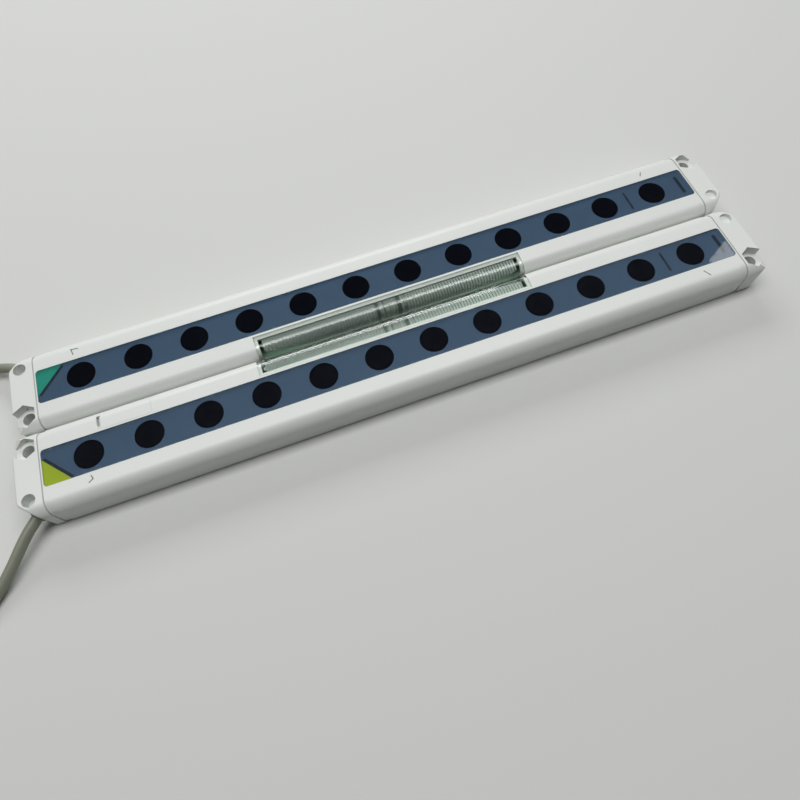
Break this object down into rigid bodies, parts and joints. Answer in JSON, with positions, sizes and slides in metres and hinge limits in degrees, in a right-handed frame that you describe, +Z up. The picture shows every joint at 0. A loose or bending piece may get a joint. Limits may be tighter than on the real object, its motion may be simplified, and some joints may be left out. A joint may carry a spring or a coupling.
{
  "type": "safety light curtain",
  "caption": "Pair of slim flat light-curtain bars side by side, with lens strip, screw-hole end caps, indicator window and a coiled cable on each.",
  "frame": {"origin": "middle of the pair's base on the surface it lies on, half way between the two bars, without the cables", "axes": "+X along the bars, away from the ends that the cables leave; +Y from the receiver towards the emitter; +Z up, the way the front windows face"},
  "size_m": [0.3509, 0.1175, 0.0154],
  "materials": {
    "housing_shell": "fine matt moulded",
    "end_cap": "fine matt moulded",
    "gasket": "dull",
    "cable_bush": "dull",
    "front_window": "clear and glossy",
    "print_film": "printed on the back",
    "emitter_patch_ink": "printed on the back",
    "receiver_patch_ink": "printed on the back",
    "dark_lens": "dark infrared-clear plastic",
    "black_plastic": "matt",
    "diode_resin": "glossy resin",
    "circuit_board": "satin lacquer",
    "connector_plastic": "matt",
    "core_insulation": "smooth",
    "indicator_window": "clear plastic",
    "light_guide": "clear plastic",
    "indicator_diode": "clear resin",
    "screw_steel": "plated",
    "cable_sheath": "matt"
  },
  "bodies": {
    "root": {"emitter_housing": "housing_shell", "emitter_left_cap": "end_cap", "emitter_right_cap": "end_cap", "emitter_left_gasket": "gasket", "emitter_right_gasket": "gasket", "emitter_cable_bush": "cable_bush", "emitter_front_window": "front_window", "emitter_print_film": "print_film", "emitter_lens_array": "dark_lens", "emitter_optics_holder": "black_plastic", "emitter_beam_diodes": "diode_resin", "emitter_circuit_board": "circuit_board", "emitter_driver_chips": "black_plastic", "emitter_lead_connector": "connector_plastic", "emitter_lead_wires": "core_insulation", "emitter_indicator_window": "indicator_window", "emitter_light_guide": "light_guide", "emitter_indicator_leds": "indicator_diode", "emitter_cap_screws": "screw_steel", "emitter_cable": "cable_sheath", "emitter_cable_coil": "cable_sheath", "emitter_cable_tie": "black_plastic", "emitter_cable_cores": "core_insulation", "emitter_colour_patch": "emitter_patch_ink", "receiver_housing": "housing_shell", "receiver_left_cap": "end_cap", "receiver_right_cap": "end_cap", "receiver_left_gasket": "gasket", "receiver_right_gasket": "gasket", "receiver_cable_bush": "cable_bush", "receiver_front_window": "front_window", "receiver_print_film": "print_film", "receiver_lens_array": "dark_lens", "receiver_optics_holder": "black_plastic", "receiver_beam_diodes": "diode_resin", "receiver_circuit_board": "circuit_board", "receiver_driver_chips": "black_plastic", "receiver_lead_connector": "connector_plastic", "receiver_lead_wires": "core_insulation", "receiver_indicator_window": "indicator_window", "receiver_light_guide": "light_guide", "receiver_indicator_leds": "indicator_diode", "receiver_cap_screws": "screw_steel", "receiver_cable": "cable_sheath", "receiver_cable_coil": "cable_sheath", "receiver_cable_tie": "black_plastic", "receiver_cable_cores": "core_insulation", "receiver_colour_patch": "receiver_patch_ink", "receiver_adjuster_cover": "housing_shell"}
  },
  "joints": []
}
